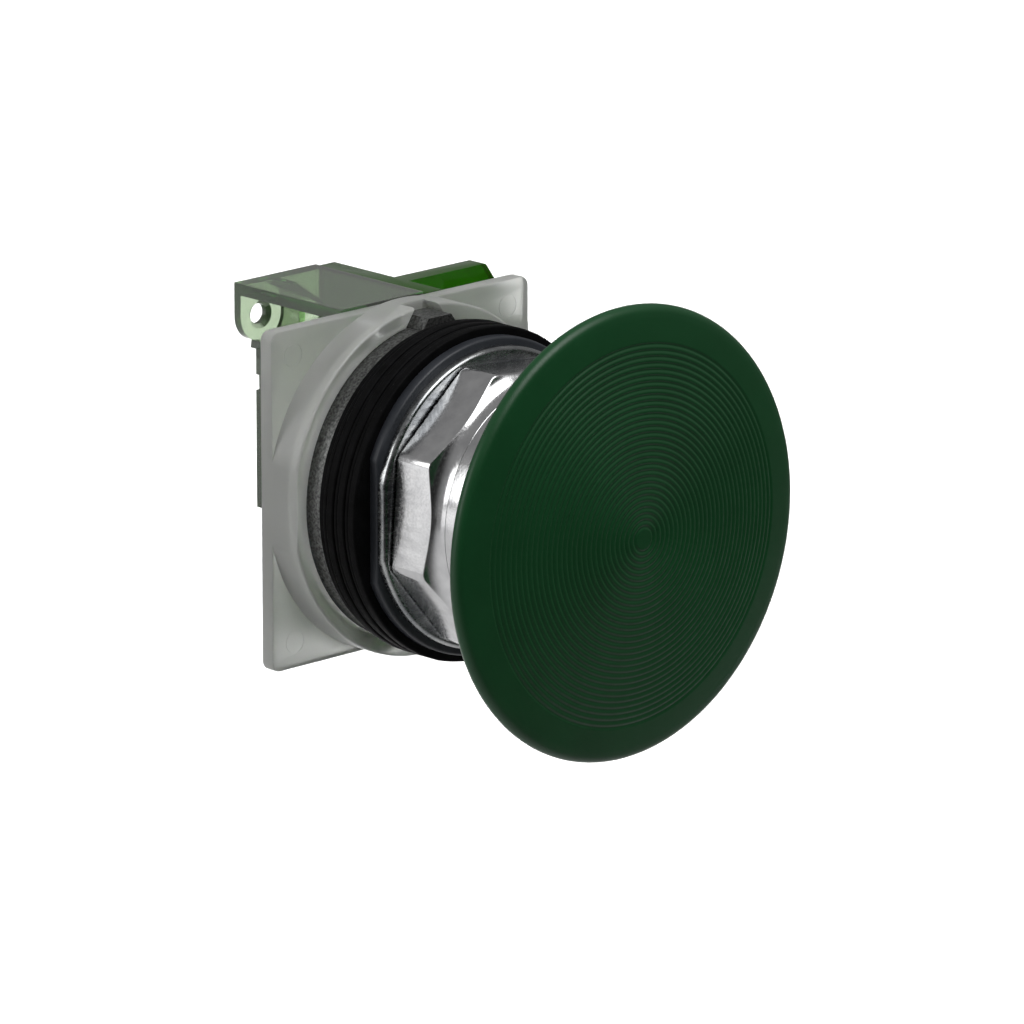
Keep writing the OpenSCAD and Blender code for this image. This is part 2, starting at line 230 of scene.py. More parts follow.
def noise_at(nodes, links, coordinates, size, detail=3.0, stretch=None):
    """A noise texture whose grains are about size mm, drawn out along the axes by stretch."""
    texture = nodes.new("ShaderNodeTexNoise")
    texture.inputs["Scale"].default_value = 1 / (size * MM)
    texture.inputs["Detail"].default_value = detail
    if stretch:
        mapping = nodes.new("ShaderNodeMapping")
        mapping.inputs["Scale"].default_value = stretch
        links.new(coordinates, mapping.inputs["Vector"])
        coordinates = mapping.outputs["Vector"]
    links.new(coordinates, texture.inputs["Vector"])
    return texture.outputs["Fac"]


def surface(name, low, high, rough, patch, grain, relief, metal=0.0, contrast=(0.3, 0.7),
            gloss=0.5, stretch=None):
    """A finish whose colour goes from low to high and whose roughness wanders over patches of
    patch mm, with a relief in mm made of grains of grain mm, drawn out along the axes by stretch.
    Gloss is how strongly the surface mirrors when seen head-on."""
    material = bpy.data.materials.new(name)
    material.use_nodes = True
    nodes, links = material.node_tree.nodes, material.node_tree.links
    shader = nodes["Principled BSDF"]
    shader.inputs["Metallic"].default_value = metal
    shader.inputs["Specular IOR Level"].default_value = gloss
    coordinates = nodes.new("ShaderNodeTexCoord").outputs["Object"]
    blotches = noise_at(nodes, links, coordinates, patch, stretch=stretch)
    colour = nodes.new("ShaderNodeValToRGB")
    for stop, where, value in zip(colour.color_ramp.elements, contrast, (low, high)):
        stop.position = where
        stop.color = (*value, 1)
    links.new(blotches, colour.inputs["Fac"])
    links.new(colour.outputs["Color"], shader.inputs["Base Color"])
    grains = noise_at(nodes, links, coordinates, grain, 2.0, stretch)
    polish = nodes.new("ShaderNodeMapRange")
    polish.inputs["From Min"].default_value = 0.3
    polish.inputs["From Max"].default_value = 0.7
    polish.inputs["To Min"].default_value = rough[0]
    polish.inputs["To Max"].default_value = rough[1]
    links.new(grains, polish.inputs["Value"])
    links.new(polish.outputs["Result"], shader.inputs["Roughness"])
    bump = nodes.new("ShaderNodeBump")
    bump.inputs["Strength"].default_value = 1
    bump.inputs["Distance"].default_value = relief * MM
    links.new(grains, bump.inputs["Height"])
    links.new(bump.outputs["Normal"], shader.inputs["Normal"])
    return material


def thread(radius, depth, pitch, back, front, angle):
    """Points (radius, depth) along one side of a screw thread, at one angle round it."""
    count = round((front - back) / pitch * 6)
    points = []
    for i in range(count + 1):
        at = back + (front - back) * i / count
        phase = (at / pitch + angle / math.tau) % 1
        points.append((radius - depth * abs(2 * phase - 1), at))
    return points


flange_r, skirt_back, barrel_front = span("operator_body")
lug_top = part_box("operator_body")[1].z / MM
plate_reach, plate_back, collar_front = span("adapter_plate")
FLANGE_T = 5
BARREL_R = 15
SKIRT_R = 12
REAR_BORE_R = 9.5
BARREL_PITCH = 1.5
BARREL_THREAD = 0.6
LUG_HALF_W = 2.9
LUG_TIP_HALF_W = 1.9
bush_back = span("guide_bush")[1]


def body_outline(angle):
    behind = rounded([(REAR_BORE_R, skirt_back, 0.2), (SKIRT_R, skirt_back, 0.4),
                      (SKIRT_R, -FLANGE_T, 0), (flange_r, -FLANGE_T, 0.5), (flange_r, 0, 0.25),
                      (BARREL_R - 0.7, 0, 0)])
    ahead = [(SKIRT_R, barrel_front), (SKIRT_R, bush_back), (REAR_BORE_R, bush_back)]
    turns = thread(BARREL_R, BARREL_THREAD, BARREL_PITCH, 0.4, barrel_front - 0.3, angle)
    return behind + turns + [(BARREL_R - 0.9, barrel_front)] + ahead


zinc = surface("cast_zinc", (0.07, 0.072, 0.07), (0.24, 0.245, 0.24), rough=(0.36, 0.55),
               patch=0.34, grain=0.16, relief=0.012, metal=0.85, contrast=(0.34, 0.72))
lug = prism([(-LUG_HALF_W, flange_r - 1), (LUG_HALF_W, flange_r - 1), (LUG_HALF_W, flange_r - 0.1),
             (LUG_TIP_HALF_W, lug_top), (-LUG_TIP_HALF_W, lug_top), (-LUG_HALF_W, flange_r - 0.1)],
            collar_front - 2, 0)
fit("operator_body_cast", carve([spin(body_outline), lug]), zinc, "root",
    ["operator_body"])

# ---- Guide bush and stem seal ----
# A sintered bronze bush is pressed into the barrel and carries the stem. A rubber cup seal
# sits in its front pocket and wipes the stem with two thin lips.
STEM_R = 4
SEAL_R = 6.2
seal_back = span("stem_seal")[1]
bronze = surface("sintered_bronze", (0.36, 0.22, 0.08), (0.52, 0.34, 0.14), rough=(0.3, 0.5),
                 patch=0.8, grain=0.12, relief=0.01, metal=1.0)
bush = spin(rounded([(STEM_R + 0.05, bush_back, 0.3), (SKIRT_R - 0.02, bush_back, 0.4),
                     (SKIRT_R - 0.02, barrel_front, 0.4), (SEAL_R, barrel_front, 0.2),
                     (SEAL_R, seal_back, 0), (STEM_R + 0.05, seal_back, 0)]), 96)
fit("guide_bush_turned", bush, bronze, "root", ["guide_bush"])
rubber = surface("black_rubber", (0.0015, 0.0015, 0.0016), (0.004, 0.004, 0.0045),
                 rough=(0.5, 0.75), patch=1.6, grain=0.16, relief=0.015, gloss=0.07)
seal = spin(rounded([(STEM_R + 0.1, seal_back, 0.1), (SEAL_R - 0.05, seal_back, 0.2),
                     (SEAL_R - 0.05, barrel_front - 0.15, 0.15),
                     (SEAL_R - 0.7, barrel_front - 0.15, 0.15),
                     (SEAL_R - 1.1, seal_back + 0.9, 0.2), (STEM_R + 0.6, seal_back + 0.9, 0.15),
                     (STEM_R + 0.1, barrel_front - 0.4, 0.1)]), 96)
fit("stem_seal_moulded", seal, rubber, "root", ["stem_seal"])

# ---- Adapter plate ----
# One frosted plastic moulding: a square plate with rounded corners, and a round collar that
# takes the flange. The ejector pins left faint rings on its face, and the lug sits in a notch.
collar_r = (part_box("adapter_plate")[1] / MM).z
PLATE_H = 43.1
PLATE_T = 2
PLATE_CORNER_R = 1.2
PLATE_BORE_R = SKIRT_R + 0.2
RECESS_R = flange_r + 0.05
NOTCH = [(-3.4, 19), (3.4, 19), (3.4, 20.1), (1.5, 22.8), (-1.5, 22.8), (-3.4, 20.1)]
MARK_R = 1.5
MARK_DEPTH = 0.05
plate_front = plate_back + PLATE_T
EJECTOR_MARKS = [(-18.1, 18.2), (-18.1, -18.2), (18.1, 18.2), (18.1, -18.2)]


def collar_outline(angle):
    side = plate_reach / max(abs(math.cos(angle)), 1e-6)
    outline = rounded([(PLATE_BORE_R, plate_back, 0.1), (collar_r - 1, plate_back, 0),
                       (collar_r - 1, plate_front - 0.3, 0), (collar_r, plate_front - 0.3, 0),
                       (collar_r, collar_front, 0.35), (RECESS_R, collar_front, 0.25),
                       (RECESS_R, -FLANGE_T, 0), (PLATE_BORE_R, -FLANGE_T, 0.1)])
    return [(min(r, side), depth) for r, depth in outline]


def frosted(name, colour, rough, passes):
    """Milky plastic that lets part of the light through."""
    material = surface(name, tuple(0.94 * c for c in colour), colour, rough=rough, patch=6,
                       grain=0.3, relief=0.004)
    shader = material.node_tree.nodes["Principled BSDF"]
    shader.inputs["Transmission Weight"].default_value = passes
    shader.inputs["IOR"].default_value = 1.5
    shader.inputs["Subsurface Weight"].default_value = 0.2
    shader.inputs["Subsurface Radius"].default_value = (1.0, 1.0, 0.9)
    shader.inputs["Subsurface Scale"].default_value = 0.002
    return material


milky = frosted("frosted_plastic", (0.90, 0.915, 0.88), rough=(0.3, 0.42), passes=0.62)
half_w, half_h = plate_reach, PLATE_H / 2
plate_corners = ((-half_w, -half_h), (half_w, -half_h), (half_w, half_h), (-half_w, half_h))
sheet = prism(rounded([(*corner, PLATE_CORNER_R) for corner in plate_corners]),
              plate_back, plate_front)
sheet = carve([sheet], [prism(disc(PLATE_BORE_R), plate_back - 1, plate_front + 1)], edge=0.15)
collar = spin(collar_outline, 192)
mark_groove = [(MARK_R - 0.1, plate_front - MARK_DEPTH), (MARK_R, plate_front - MARK_DEPTH),
               (MARK_R, plate_front + 1), (MARK_R - 0.1, plate_front + 1)]
cuts = [prism(NOTCH, -FLANGE_T, 0), *[moved(spin(mark_groove, 32), at) for at in EJECTOR_MARKS]]
fit("adapter_plate_moulded", carve([sheet, collar], cuts), milky, "root",
    ["adapter_plate"])

# ---- Gaskets ----
# Seven rubber rings of two thicknesses, stacked to suit the panel. Each was cut from sheet, so
# its edge wanders a little and carries small burrs. The rearmost one is cut smaller.
bore_r = BARREL_R + 0.1
gasket_r, stack_back = span("thick_gaskets")[:2]
GASKET_T = 1.225
SHIM_T = 0.7
REAR_GASKET_R = 20.5
WANDER = 0.05
BURR = 0.12
EDGE_ROUNDING = 0.26


def gasket(radius, back, front, seed):
    """One ring cut from sheet. The seed sets where its edge wanders."""
    def outline(angle):
        spot = Vector((math.cos(angle), math.sin(angle), 0))
        wander = WANDER * noise.noise(spot * 5 + Vector((0, 0, seed)))
        burr = BURR * max(noise.noise(spot * 46 + Vector((0, 0, 7 * seed))) - 0.35, 0)
        edge = radius - 0.09 + wander + burr
        round_off = min(EDGE_ROUNDING, 0.36 * (front - back))
        return rounded([(bore_r, back, 0), (edge, back, round_off), (edge, front, round_off),
                        (bore_r, front, 0)])
    return spin(outline, 288)


pitch = GASKET_T + SHIM_T
thick = [gasket(gasket_r if i else REAR_GASKET_R, stack_back + i * pitch,
                stack_back + i * pitch + GASKET_T, i) for i in range(4)]
thin = [gasket(gasket_r - 0.15, stack_back + i * pitch + GASKET_T,
               stack_back + (i + 1) * pitch, 5 + i) for i in range(3)]
fit("thick_gaskets_cut", gather(*thick), rubber, "root", ["thick_gaskets"])
fit("thin_gaskets_cut", gather(*thin), rubber, "root", ["thin_gaskets"])

# ---- Washers ----
# A dark coated trim washer and a bright zinc-plated clamp washer, both stamped from sheet with
# two flats. The stamping rolled their front edges over.
TRIM_ROLL = 0.35
CLAMP_ROLL = 0.5


def flatted(node, radius, edge):
    """A washer with two flats, and a front edge rolled over by edge mm."""
    flat, back, front = span(node)

    def outline(angle):
        rim = min(radius, flat / max(abs(math.cos(angle)), 1e-6))
        return rounded([(bore_r, back, 0.1), (rim, back, 0.1), (rim, front, edge),
                        (bore_r, front, 0.2)])
    return spin(outline, 360)


trim_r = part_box("trim_washer")[1].z / MM
washer_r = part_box("clamp_washer")[1].z / MM
coated = surface("dark_coating", (0.024, 0.027, 0.033), (0.040, 0.044, 0.052), rough=(0.36, 0.5),
                 patch=5, grain=0.14, relief=0.008, gloss=0.35)
plated = surface("zinc_plate", (0.24, 0.25, 0.26), (0.44, 0.45, 0.45), rough=(0.16, 0.34),
                 patch=2.2, grain=0.35, relief=0.006, metal=1.0, contrast=(0.35, 0.62),
                 stretch=(0.35, 1, 1))
fit("trim_washer_stamped", flatted("trim_washer", trim_r, TRIM_ROLL), coated, "root",
    ["trim_washer"])
fit("clamp_washer_stamped", flatted("clamp_washer", washer_r, CLAMP_ROLL), plated, "root",
    ["clamp_washer"])

# ---- Ring nut ----
# Die-cast and chromed, with eight flats for a spanner. A turned cove cuts into the flats, which
# bows their front edges, and leads up to the polished neck that the head's hub runs in.
nut_back, neck_front = span("ring_nut")[1:]
NUT_TURN = math.radians(-4.6)
NUT_APOTHEM = 17.15
NUT_CORNER_R = NUT_APOTHEM / math.cos(math.pi / 8)
NECK_R = 16.5
NECK_FOOT = 18.3
COVE_R = 2.82
NECK_BORE_R = 12.6
CORNER_CUT = 0.14
ROUGH_EDGE = 0.14
WIPER_R = 13.8
WIPER_LIP_R = 12.15
wiper_back, wiper_front = span("neck_wiper")[1:]


def nut_outline(angle):
    sector = math.pi / 4
    off_flat = (angle - NUT_TURN + sector / 2) % sector - sector / 2
    side = min(NUT_APOTHEM / math.cos(off_flat), NUT_CORNER_R - CORNER_CUT)
    spot = Vector((math.cos(angle), math.sin(angle), 0))
    rough_edge = 0.3 + ROUGH_EDGE * noise.noise(spot * 24)
    meets_side = math.acos((NECK_R + COVE_R - side) / COVE_R)
    cove = [(NECK_R + COVE_R - COVE_R * math.cos(a), NECK_FOOT - COVE_R * math.sin(a))
            for a in (meets_side * (1 - i / 8) for i in range(9))]
    return rounded([(BARREL_R + 0.05, nut_back, 0.2), (side, nut_back, rough_edge),
                    (*cove[0], 0.24), *[(r, depth, 0) for r, depth in cove[1:]],
                    (NECK_R - 0.04, NECK_FOOT + 0.04, 0), (NECK_R - 0.04, neck_front, 0.5),
                    (NECK_BORE_R, neck_front, 0.3), (NECK_BORE_R, wiper_front, 0),
                    (WIPER_R, wiper_front, 0), (WIPER_R, wiper_back, 0),
                    (NECK_BORE_R, wiper_back, 0), (NECK_BORE_R, barrel_front + 0.4, 0),
                    (BARREL_R + 0.05, barrel_front + 0.4, 0)])


chrome = surface("chrome_plate", (0.60, 0.60, 0.61), (0.74, 0.74, 0.745), rough=(0.13, 0.24),
                 patch=2.0, grain=0.3, relief=0.005, metal=1.0)
fit("ring_nut_chromed", spin(nut_outline, 384), chrome, "root", ["ring_nut"])
wiper = spin(rounded([(WIPER_LIP_R, wiper_back + 0.5, 0.2), (WIPER_R - 0.05, wiper_back, 0.1),
                      (WIPER_R - 0.05, wiper_front, 0.1),
                      (WIPER_LIP_R, wiper_front - 0.5, 0.2)]), 96)
fit("neck_wiper_moulded", wiper, rubber, "root", ["neck_wiper"])

# ---- Mushroom head ----
# Moulded in green plastic. Thirty fine grooves ring the dome for grip, inside a smooth band and
# a rounded rim. Its hub runs in the nut's neck and is hollow for the return spring.
head_r, hub_back, dome_front = span("mushroom_head")
DOME_R = 149
RIM_R = 1.15
RIM_DEPTH = 3.7
GROOVES = 30
GROOVE_PITCH = 0.762
GROOVE_FIRST = 1.55
GROOVE_DEPTH = 0.12
HUB_R = 11.9
HUB_BORE_R = 8.5
INSERT_R = 5.4
BAND_R = 26.8
WEB_STEP = 0.7
spring_front = span("return_spring")[2] + 0.05
insert_front = span("head_insert")[2]


def dome(radius):
    """Depth of the front at a radius, with its grooves."""
    depth = dome_front - DOME_R + math.sqrt(DOME_R ** 2 - radius ** 2)
    phase = (radius - GROOVE_FIRST) / GROOVE_PITCH
    if -0.5 <= phase <= GROOVES - 0.5:
        depth -= GROOVE_DEPTH * (0.5 + 0.5 * math.cos(math.tau * phase)) ** 1.4
    return depth


rim_centre = (head_r - RIM_R, dome_front - RIM_DEPTH)
rim = [(rim_centre[0] + RIM_R * math.cos(a), rim_centre[1] + RIM_R * math.sin(a))
       for a in (math.radians(79 - 169 * i / 14) for i in range(15))]
front = [(r, dome(r)) for r in (BAND_R * i / 352 for i in range(353))]
lip_r, lip_back = rim[-1]
under = rounded([(lip_r - 0.9, lip_back, 0.4), (lip_r - 1.6, lip_back + WEB_STEP, 0.5),
                 (HUB_R + 0.2, lip_back + WEB_STEP, 0.8), (HUB_R, hub_back, 0.5),
                 (HUB_BORE_R, hub_back, 0.3), (HUB_BORE_R, spring_front, 0.5),
                 (INSERT_R, spring_front, 0), (INSERT_R, insert_front, 0), (0, insert_front, 0)])
green = surface("green_plastic", (0.0066, 0.061, 0.0175), (0.0080, 0.071, 0.0210),
                rough=(0.34, 0.42), patch=8, grain=0.35, relief=0.0025, gloss=0.36)
fit("mushroom_head_moulded", spin(front + rim + under, 288), green, "button",
    ["mushroom_head"], crease=60)

# ---- Head insert and stem ----
# The brass insert is knurled so that the plastic grips it. The steel stem screws into it, runs
# through the bush, and carries a clip that stops it against the bush.
insert_back = span("head_insert")[1]
stem_back, stem_front = span("push_stem")[1:]
clip_back, clip_front = span("stem_clip")[1:]
CLIP_GROOVE_R = 3.3
STEM_PITCH = 1.25
STEM_THREAD = 0.5
KNURL_TEETH = 24
KNURL_DEPTH = 0.22


def insert_outline(angle):
    knurl = INSERT_R - 0.03 - KNURL_DEPTH * abs(2 * (angle * KNURL_TEETH / math.tau % 1) - 1)
    return [(STEM_R + 0.02, insert_back), (INSERT_R - 0.4, insert_back), (knurl, insert_back + 0.4),
            (knurl, insert_back + 3.6), (INSERT_R - 0.8, insert_back + 4),
            (INSERT_R - 0.8, insert_back + 5), (knurl, insert_back + 5.4),
            (knurl, insert_front - 0.3), (0, insert_front - 0.3), (0, stem_front + 0.02),
            (STEM_R + 0.02, stem_front + 0.02)]


def stem_outline(angle):
    behind = [(0, stem_back), (STEM_R - 0.4, stem_back), (STEM_R, stem_back + 0.4),
              (STEM_R, clip_back), (CLIP_GROOVE_R, clip_back), (CLIP_GROOVE_R, clip_front),
              (STEM_R, clip_front), (STEM_R, insert_back - 1.5)]
    turns = thread(STEM_R - 0.02, STEM_THREAD, STEM_PITCH, insert_back - 1, stem_front - 0.5, angle)
    return behind + turns + [(STEM_R - 0.6, stem_front), (0, stem_front)]


brass = surface("brass", (0.48, 0.33, 0.11), (0.62, 0.45, 0.18), rough=(0.2, 0.38), patch=1.8,
                grain=0.2, relief=0.006, metal=1.0)
steel = surface("bright_steel", (0.42, 0.43, 0.45), (0.58, 0.59, 0.6), rough=(0.18, 0.34),
                patch=2.2, grain=0.15, relief=0.004, metal=1.0)
fit("head_insert_knurled", spin(insert_outline, 192), brass, "button", ["head_insert"])
fit("push_stem_turned", spin(stem_outline, 96), steel, "button", ["push_stem"])

# ---- Stem clip ----
# A circlip stamped from blued spring steel. It snaps into the stem's groove from the side, and
# its two ends are drilled for the pliers.
blued = surface("blued_spring_steel", (0.05, 0.055, 0.065), (0.12, 0.125, 0.14), rough=(0.25, 0.42),
                patch=1.5, grain=0.12, relief=0.004, metal=1.0)
CLIP_R = 6.2
CLIP_GAP_HALF = 1.3
LOBE_R = 1.25
PLIERS_HOLE_R = 0.5
lobes = [prism(disc(LOBE_R, (side * 2.4, 4.9), 24), clip_back, clip_front) for side in (-1, 1)]
holes = [prism(disc(PLIERS_HOLE_R, (side * 2.5, 5.0), 16), clip_back - 1, clip_front + 1)
         for side in (-1, 1)]
clip = carve([prism(disc(CLIP_R, steps=64), clip_back, clip_front), *lobes],
             [prism(disc(CLIP_GROOVE_R + 0.02), clip_back - 1, clip_front + 1),
              slab((-CLIP_GAP_HALF, CLIP_GAP_HALF), (0, 9), (clip_back - 1, clip_front + 1)),
              *holes], edge=0.08)
fit("stem_clip_stamped", clip, blued, "button", ["stem_clip"])

# ---- Plunger foot ----
# A moulded foot pushed onto the end of the stem. Its wide face drives the contact block, and
# a boss in front of it takes the stem.
foot_r, foot_back, foot_front = span("plunger_foot")
FOOT_T = 2.2
FOOT_BOSS_R = 5.6
ivory = surface("ivory_plastic", (0.50, 0.47, 0.38), (0.58, 0.55, 0.46), rough=(0.4, 0.55), patch=4,
                grain=0.2, relief=0.004)
foot = spin(rounded([(0, foot_back, 0), (foot_r, foot_back, 0.5), (foot_r, foot_back + FOOT_T, 0.4),
                     (FOOT_BOSS_R, foot_back + FOOT_T, 0.4),
                     (FOOT_BOSS_R, foot_front, 0.3),
                     (STEM_R + 0.02, foot_front, 0.3), (STEM_R + 0.02, stem_back - 0.02, 0),
                     (0, stem_back - 0.02, 0)]), 96)
fit("plunger_foot_moulded", foot, ivory, "button", ["plunger_foot"])

# ---- Return spring ----
# A coil of round spring wire with closed ends, between the bush and the head. It brings the
# head back, and it shortens by the whole travel when the head is pushed.
def coil(mean_r, wire_r, back, front, turns, per_turn=36, sides=10):
    """A round wire wound from back to front, with its two end turns closed."""
    dead = 0.8
    dead_rise = 2 * wire_r * dead
    live_rise = front - back - 2 * wire_r - 2 * dead_rise
    steps = round(turns * per_turn)
    bm = bmesh.new()
    rings = []
    for i in range(steps + 1):
        turn = turns * i / steps
        live = min(max((turn - dead) / (turns - 2 * dead), 0), 1)
        closed = min(turn, dead) + max(turn - (turns - dead), 0)
        middle = back + wire_r + closed * 2 * wire_r + live * live_rise
        angle = math.tau * turn
        ring = []
        for j in range(sides):
            around = math.tau * j / sides
            radius = mean_r + wire_r * math.cos(around)
            ring.append(bm.verts.new(place(radius * math.cos(angle), radius * math.sin(angle),
                                           middle + wire_r * math.sin(around))))
        rings.append(ring)
    for ring, following in zip(rings, rings[1:]):
        for j in range(sides):
            k = (j + 1) % sides
            bm.faces.new((ring[j], ring[k], following[k], following[j]))
    bm.faces.new(rings[0])
    bm.faces.new(rings[-1])
    return as_mesh(bm)


drawn = surface("drawn_wire", (0.30, 0.30, 0.31), (0.44, 0.44, 0.45), rough=(0.22, 0.38), patch=1.2,
                grain=0.1, relief=0.003, metal=1.0)
SPRING_MEAN_R = 6.95
SPRING_WIRE_R = 0.5
spring_back = span("return_spring")[1]
spring = fit("return_spring_wound",
             coil(SPRING_MEAN_R, SPRING_WIRE_R, spring_back, spring_front - 0.05, turns=4.6), drawn,
             "root", ["return_spring"])
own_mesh(spring)

# ---- Contact block housing ----
# Deep green polycarbonate that light passes through. A side wall and a front wall carry the
# contacts, and a wing on the right holds the terminals behind open wire pockets.
block_low, block_high = (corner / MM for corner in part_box("block_housing"))
block_back, block_front = -block_high.y, -block_low.y
wing_reach, side_top = block_high.x, block_high.z
COVER_LEFT, COVER_RIGHT = -8.15, 5.6
SIDE_RIGHT = 8.8
COVER_WALL = 1.2
front_wall = block_front - 1.2
WING_DEPTH = 8.7
WING_WALL = 2.7
wing_back = block_front - WING_DEPTH
wing_inner = wing_back + WING_WALL
WING_SIDE_LEFT = 21.6
INNER_TOP = 20.15
BOSS_R = 3.5
STACK_HOLE = (-4.8, 17.4)
LOWER_HOLE = (-STACK_HOLE[0], -STACK_HOLE[1])
STACK_HOLE_R = 1.3
EAR_R = 3.3
EAR_BOTTOM = 14
TERMINAL_HEAD_R = 2.8
terminal_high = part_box("terminal_screws")[1] / MM
TERMINAL = (terminal_high.x - TERMINAL_HEAD_R, terminal_high.z - TERMINAL_HEAD_R)
TERMINALS = [TERMINAL, (TERMINAL[0], -TERMINAL[1])]
SCREW_R = 1.5
SCREW_HEAD_R = 2.4
PLUNGER_R = 4.2
STRIP_T = 0.8
TERMINAL_BORE_R = 3.1
ARM_UP = 5.75


def tinted(name, base, absorbs, density, rough, gloss, clarity):
    """Clear plastic that takes on its colour in depth, with a little haze where not all clear."""
    material = surface(name, base, base, rough=rough, patch=6, grain=0.5, relief=0.002, gloss=gloss)
    nodes, links = material.node_tree.nodes, material.node_tree.links
    shader = nodes["Principled BSDF"]
    shader.inputs["Transmission Weight"].default_value = clarity
    shader.inputs["IOR"].default_value = 1.5
    absorption = nodes.new("ShaderNodeVolumeAbsorption")
    absorption.inputs["Color"].default_value = (*absorbs, 1)
    absorption.inputs["Density"].default_value = density
    links.new(absorption.outputs["Volume"], nodes["Material Output"].inputs["Volume"])
    return material


deep_green = tinted("green_translucent", (0.12, 0.50, 0.004), absorbs=(0.25, 0.56, 0.01),
                    density=2000, rough=(0.05, 0.12), gloss=0.12, clarity=0.86)
wing = rounded([(SIDE_RIGHT - 0.5, side_top, 0), (22, side_top, 0.6),
                (wing_reach, side_top - 2.3, 0.8), (wing_reach, 2.3 - side_top, 0.8),
                (22, -side_top, 0.6), (SIDE_RIGHT - 0.5, -side_top, 0)])
walls = [slab((COVER_RIGHT, SIDE_RIGHT), (-side_top, side_top), (block_back, block_front)),
         slab((COVER_LEFT, COVER_RIGHT + 0.5), (-INNER_TOP, INNER_TOP), (front_wall, block_front)),
         *[prism([(across, max(min(up, INNER_TOP), -INNER_TOP)) for across, up in disc(BOSS_R, at)],
                 front_wall - 4, front_wall + 0.5) for at in (STACK_HOLE, LOWER_HOLE)],
         prism(wing, wing_back, wing_inner),
         slab((WING_SIDE_LEFT, wing_reach), (-14.9, 14.9), (wing_inner - 0.5, block_front)),
         *[slab((SIDE_RIGHT - 0.5, WING_SIDE_LEFT + 0.5), (up - 0.75, up + 0.75),
                (wing_inner - 0.5, block_front)) for up in (ARM_UP, -ARM_UP)],
         slab((LOWER_HOLE[0], COVER_RIGHT + 0.5), (-side_top, -EAR_BOTTOM),
              (block_back, block_back + COVER_WALL)),
         prism(disc(EAR_R, LOWER_HOLE), block_back, block_back + COVER_WALL)]
bevelled_back = bpy.data.meshes.new("bevelled_back")
bevelled_back.from_pydata(
    [place(across, up, depth) for up in (-30, 30)
     for across, depth in ((wing_reach - 4.3, wing_back - 0.01), (wing_reach + 0.01, wing_inner),
                           (wing_reach + 3, wing_back - 0.01))],
    [], [(0, 1, 2), (5, 4, 3), (0, 3, 4, 1), (1, 4, 5, 2), (2, 5, 3, 0)])
openings = [prism(disc(PLUNGER_R + 0.2), front_wall - 1, block_front + 1),
            *[prism(disc(SCREW_HEAD_R + 0.3, at), block_back + COVER_WALL, front_wall)
              for at in (STACK_HOLE, LOWER_HOLE)],
            *[prism(disc(SCREW_R + 0.2, at, 24), front_wall - 1, block_front + 1)
              for at in (STACK_HOLE, LOWER_HOLE)],
            bevelled_back,
            *[prism(disc(TERMINAL_BORE_R, at), wing_back - 1, wing_inner + 1) for at in TERMINALS],
            *[slab((COVER_RIGHT - 1, SIDE_RIGHT + 1), (at[1] - 3, at[1] + 3),
                   (wing_inner - 0.1, wing_inner + STRIP_T + 0.1)) for at in TERMINALS],
            prism(disc(STACK_HOLE_R, LOWER_HOLE), block_back - 1, block_back + COVER_WALL + 1)]
fit("block_housing_moulded", carve(walls, openings, edge=0.25), deep_green, "root",
    ["block_housing"])

# ---- Contact block cover ----
# Clear polycarbonate with a faint green cast that gathers in its edges. The grey in its base
# colour is painted shade that dims all that is seen through it. It clips over the
# contacts from the left, and the ear at its top takes a screw of the next block.
body_back = block_back + 3.4
cover_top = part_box("block_cover")[1].z / MM
BODY_LEFT = -7.65
INSET_LEFT = -5.9
INSET_TOP = -6.5
RIB_R = (4.4, 3.4)
SINK_R = 2.0
# Painted shade: the grey base colour darkens everything seen through the cover.
clear = tinted("clear_plastic", (0.58, 0.61, 0.55), absorbs=(0.45, 0.86, 0.25), density=300,
               rough=(0.03, 0.09), gloss=0.5, clarity=0.84)
rib = [(STACK_HOLE[0] + r * math.cos(a), STACK_HOLE[1] + r * math.sin(a))
       for r, way in zip(RIB_R, (1, -1))
       for a in (way * math.radians(-100 + 10 * i) for i in range(21))]
ear_front = block_back + COVER_WALL
shell = [slab((COVER_LEFT, COVER_RIGHT), (cover_top - 1.5, cover_top), (block_back, block_front)),
         slab((STACK_HOLE[0], COVER_RIGHT), (EAR_BOTTOM, cover_top - 0.1),
              (block_back, block_back + COVER_WALL)),
         slab((COVER_LEFT, COVER_RIGHT), (STACK_HOLE[1], cover_top - 0.1),
              (block_back, block_back + COVER_WALL)),
         prism(disc(STACK_HOLE[0] - COVER_LEFT, STACK_HOLE), block_back, block_back + COVER_WALL),
         slab((STACK_HOLE[0], COVER_RIGHT), (EAR_BOTTOM - COVER_WALL, EAR_BOTTOM),
              (block_back, body_back + COVER_WALL)),
         prism(rib, block_back + 0.1, body_back + COVER_WALL),
         slab((BODY_LEFT, BODY_LEFT + COVER_WALL), (INSET_TOP, EAR_BOTTOM - 0.1),
              (body_back, front_wall)),
         slab((INSET_LEFT, INSET_LEFT + COVER_WALL), (-cover_top, INSET_TOP + 0.1),
              (body_back, front_wall)),
         slab((BODY_LEFT, INSET_LEFT + COVER_WALL), (INSET_TOP, INSET_TOP + COVER_WALL),
              (body_back, front_wall)),
         slab((BODY_LEFT, COVER_RIGHT), (INSET_TOP, EAR_BOTTOM - 0.1),
              (body_back, body_back + COVER_WALL)),
         slab((INSET_LEFT, COVER_RIGHT), (-cover_top, INSET_TOP + 0.1),
              (body_back, body_back + COVER_WALL)),
         slab((INSET_LEFT, COVER_RIGHT), (-cover_top, 1.5 - cover_top), (body_back, block_front))]
countersink = moved(spin([(0, ear_front - 0.6), (STACK_HOLE_R - 0.1, ear_front - 0.6),
                          (SINK_R, ear_front + 0.2), (0, ear_front + 0.2)], 48), STACK_HOLE)
